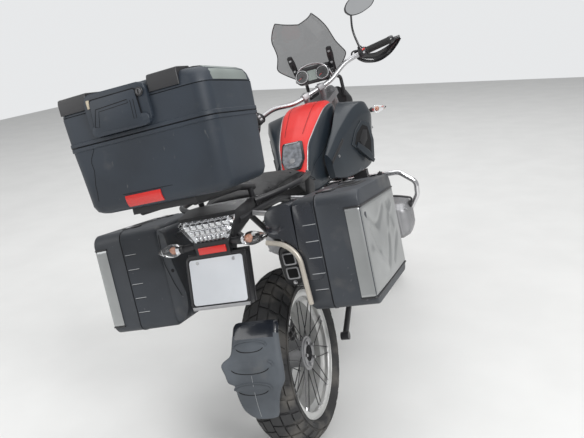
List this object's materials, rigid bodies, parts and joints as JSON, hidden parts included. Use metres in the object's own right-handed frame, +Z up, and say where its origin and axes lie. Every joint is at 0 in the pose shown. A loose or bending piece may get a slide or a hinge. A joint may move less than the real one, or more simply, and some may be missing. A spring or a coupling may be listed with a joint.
{
  "type": "adventure touring motorcycle with luggage cases",
  "caption": "Adventure motorcycle with a flat twin engine, wire wheels, side panniers and a top case, leaning on its side stand with the fork turned left.",
  "frame": {"origin": "on the floor, where the rear tyre meets it", "axes": "+X to the machine's right, +Y forward, +Z up from the floor; the machine leans to its left"},
  "size_m": [1.0572, 2.3198, 1.5978],
  "materials": {
    "tyre_rubber": "matte, dusty in the grooves",
    "polished_aluminium": "polished",
    "brushed_aluminium": "brushed",
    "cast_silver": "cast, satin",
    "disc_steel": "ground",
    "chrome_steel": "polished",
    "dark_steel": "satin black",
    "engine_grey": "satin grey",
    "red_paint": "gloss red",
    "cap_grey": "satin silver-grey",
    "panel_charcoal": "satin charcoal",
    "case_charcoal": "grained matte",
    "black_plastic": "matte",
    "seat_leather": "matte grained",
    "plate_white": "blank, satin",
    "lamp_clear": "clear",
    "indicator_clear": "clear over an orange bulb",
    "screen_smoke": "smoked",
    "rubber_grip": "matte",
    "mirror_black": "satin",
    "weathered_plastic": "weathered grey"
  },
  "bodies": {
    "chassis": {"engine_block": "engine_grey", "cylinders": "cast_silver", "engine_guard": "chrome_steel", "skid_plate": "brushed_aluminium", "exhaust_pipes": "chrome_steel", "silencer": "chrome_steel", "main_frame": "dark_steel", "swingarm": "engine_grey", "rear_shock": "dark_steel", "front_wishbone": "dark_steel", "fuel_tank": "red_paint", "tank_panels": "panel_charcoal", "radiators": "black_plastic", "rider_seat": "seat_leather", "passenger_seat": "seat_leather", "tail_unit": "black_plastic", "licence_plate": "plate_white", "tail_lamp": "lamp_clear", "indicators": "indicator_clear", "spray_guard": "weathered_plastic", "luggage_rack": "dark_steel", "pannier_rack": "brushed_aluminium", "topcase_base": "case_charcoal", "pannier_right_tray": "case_charcoal", "pannier_left_tray": "case_charcoal", "beak": "red_paint", "headlamp": "lamp_clear", "instrument_panel": "black_plastic", "windscreen": "screen_smoke", "foot_pegs": "cast_silver"},
    "steering": {"fork_yoke": "cast_silver", "fork_legs": "cast_silver", "front_fender": "black_plastic", "handlebar": "brushed_aluminium", "hand_controls": "rubber_grip", "mirrors": "mirror_black", "front_calipers": "cast_silver"},
    "front_wheel": {"front_tyre": "tyre_rubber", "front_rim": "polished_aluminium", "front_discs": "disc_steel"},
    "rear_wheel": {"rear_tyre": "tyre_rubber", "rear_rim": "polished_aluminium", "rear_disc": "disc_steel"},
    "side_stand": {"side_stand": "dark_steel"},
    "centre_stand": {"centre_stand": "dark_steel"},
    "topcase_lid": {"topcase_lid": "case_charcoal"},
    "fuel_cap": {"fuel_cap": "cap_grey"},
    "pannier_right_lid": {"pannier_right_lid": "case_charcoal"},
    "pannier_left_lid": {"pannier_left_lid": "case_charcoal"}
  },
  "joints": [
    {"name": "steering_hinge", "type": "hinge", "parent": "chassis", "child": "steering", "pos_m": [0.01828, 1.60661, -0.00711], "axis": [-0.1784, -0.4256, 0.8872], "range_deg": [-80, 0]},
    {"name": "front_wheel_hinge", "type": "hinge", "parent": "steering", "child": "front_wheel", "pos_m": [-0.07646, 1.49814, 0.30079], "axis": [0.6962, 0.5825, 0.4194], "continuous": true},
    {"name": "rear_wheel_hinge", "type": "hinge", "parent": "chassis", "child": "rear_wheel", "pos_m": [-0.04457, 0.00175, 0.31355], "axis": [0.9803, 0.0011, 0.1977], "continuous": true},
    {"name": "side_stand_hinge", "type": "hinge", "parent": "chassis", "child": "side_stand", "pos_m": [-0.2108, 0.60148, 0.26445], "axis": [-0.964, 0.019, 0.2653], "range_deg": [0, 85.5]},
    {"name": "centre_stand_hinge", "type": "hinge", "parent": "chassis", "child": "centre_stand", "pos_m": [-0.03904, 0.52158, 0.28321], "axis": [0.9803, 0.0011, 0.1977], "range_deg": [0, 80], "stiffness_Nm_per_rad": 20, "springref_deg": -34.38},
    {"name": "topcase_lid_hinge", "type": "hinge", "parent": "chassis", "child": "topcase_lid", "pos_m": [-0.22155, -0.21184, 1.19247], "axis": [-0.9803, -0.0011, -0.1977], "range_deg": [0, 80]},
    {"name": "fuel_cap_hinge", "type": "hinge", "parent": "chassis", "child": "fuel_cap", "pos_m": [-0.17901, 0.56128, 0.9772], "axis": [-0.9803, -0.0011, -0.1977], "range_deg": [0, 90]},
    {"name": "pannier_right_lid_hinge", "type": "hinge", "parent": "chassis", "child": "pannier_right_lid", "pos_m": [0.20379, -0.32213, 0.66749], "axis": [0.0631, 0.9876, -0.1436], "range_deg": [0, 80]},
    {"name": "pannier_left_lid_hinge", "type": "hinge", "parent": "chassis", "child": "pannier_left_lid", "pos_m": [-0.43935, -0.32498, 0.53782], "axis": [0.0046, -0.9876, 0.1572], "range_deg": [0, 80]}
  ]
}
